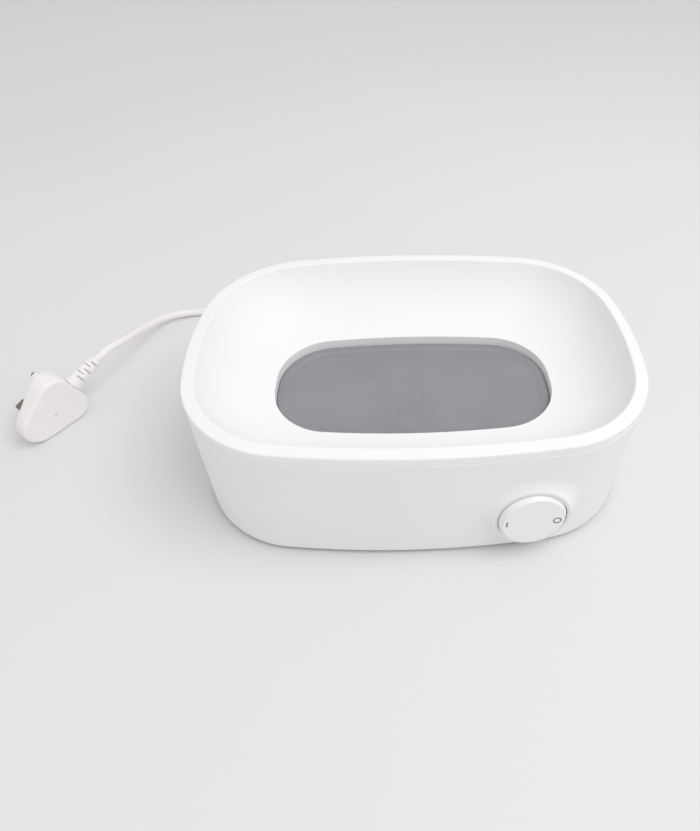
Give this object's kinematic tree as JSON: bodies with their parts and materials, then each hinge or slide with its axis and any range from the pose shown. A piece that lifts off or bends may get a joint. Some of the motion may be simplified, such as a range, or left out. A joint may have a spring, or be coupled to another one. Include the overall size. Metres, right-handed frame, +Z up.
{
  "type": "electric steam bottle sterilizer",
  "caption": "Base unit of a steam steriliser for feeding bottles: white concave bowl over a grey heating plate, round rocker switch and mains lead.",
  "frame": {"origin": "on the table under the middle of the base unit, its rocker included and its cord left out", "axes": "+X along the long side to the right, +Y to the back, +Z up; the rocker is on the front"},
  "size_m": [0.4638, 0.3141, 0.1002],
  "materials": {
    "white_shell": "satin white moulded plastic",
    "white_casing": "satin white moulded plastic",
    "white_button": "satin white moulded plastic",
    "ring_plastic": "milky translucent plastic",
    "grey_base": "matte light plastic",
    "plate_grey": "matte grey coated plate",
    "steel": "bright zinc plated steel",
    "element_sheath": "dull extruded sheath",
    "seal_rubber": "translucent silicone rubber",
    "foot_rubber": "grey rubber",
    "switch_plastic": "black switch plastic",
    "brass": "bright brass",
    "block_plastic": "natural nylon",
    "ceramic_white": "glazed insulating body",
    "cord_white": "soft white plastic sheath",
    "plug_white": "smooth white moulded plastic",
    "wire_brown": "brown insulation",
    "wire_blue": "blue insulation",
    "wire_green": "green insulation",
    "lamp_glass": "clear lamp bulb"
  },
  "bodies": {
    "base": {"bowl_housing": "white_shell", "outer_casing": "white_casing", "base_cover": "grey_base", "heating_plate": "plate_grey", "plate_seal": "seal_rubber", "clamp_ring": "steel", "clamp_screws": "steel", "heating_element": "element_sheath", "element_pins": "steel", "thermostat": "ceramic_white", "thermostat_bracket": "steel", "thermal_fuse": "steel", "light_ring": "ring_plastic", "indicator_lamp": "lamp_glass", "rocker_pin": "steel", "switch_body": "switch_plastic", "switch_terminals": "brass", "switch_screws": "steel", "feet": "foot_rubber", "base_screws": "steel", "cord_gland": "cord_white", "cord_inner": "cord_white", "cord_clamp": "block_plastic", "cord_clamp_screws": "steel", "terminal_block": "block_plastic", "wire_live": "wire_brown", "wire_switched": "wire_brown", "wire_neutral": "wire_blue", "wire_earth": "wire_green", "cord_lead": "cord_white", "cord_coil": "cord_white", "cord_tail": "cord_white", "plug_body": "plug_white", "plug_boot": "cord_white", "earth_pin": "brass", "live_pin": "brass", "neutral_pin": "brass", "fuse_carrier": "plug_white", "cartridge_fuse": "ceramic_white"},
    "rocker": {"rocker_button": "white_button"},
    "slider": {"switch_slider": "block_plastic"}
  },
  "joints": [
    {"name": "rocker_tilt", "type": "hinge", "parent": "base", "child": "rocker", "pos_m": [0.06815, -0.09713, 0.03938], "axis": [0.0023, -0.0523, -0.9986], "range_deg": [0, 6]},
    {"name": "switch_slide", "type": "slide", "parent": "base", "child": "slider", "axis": [0.999, 0.0436, 0], "range_m": [0, 0.0017]}
  ],
  "couplings": [
    {"joint": "switch_slide", "follows": "rocker_tilt", "m_per_rad": 0.016}
  ]
}
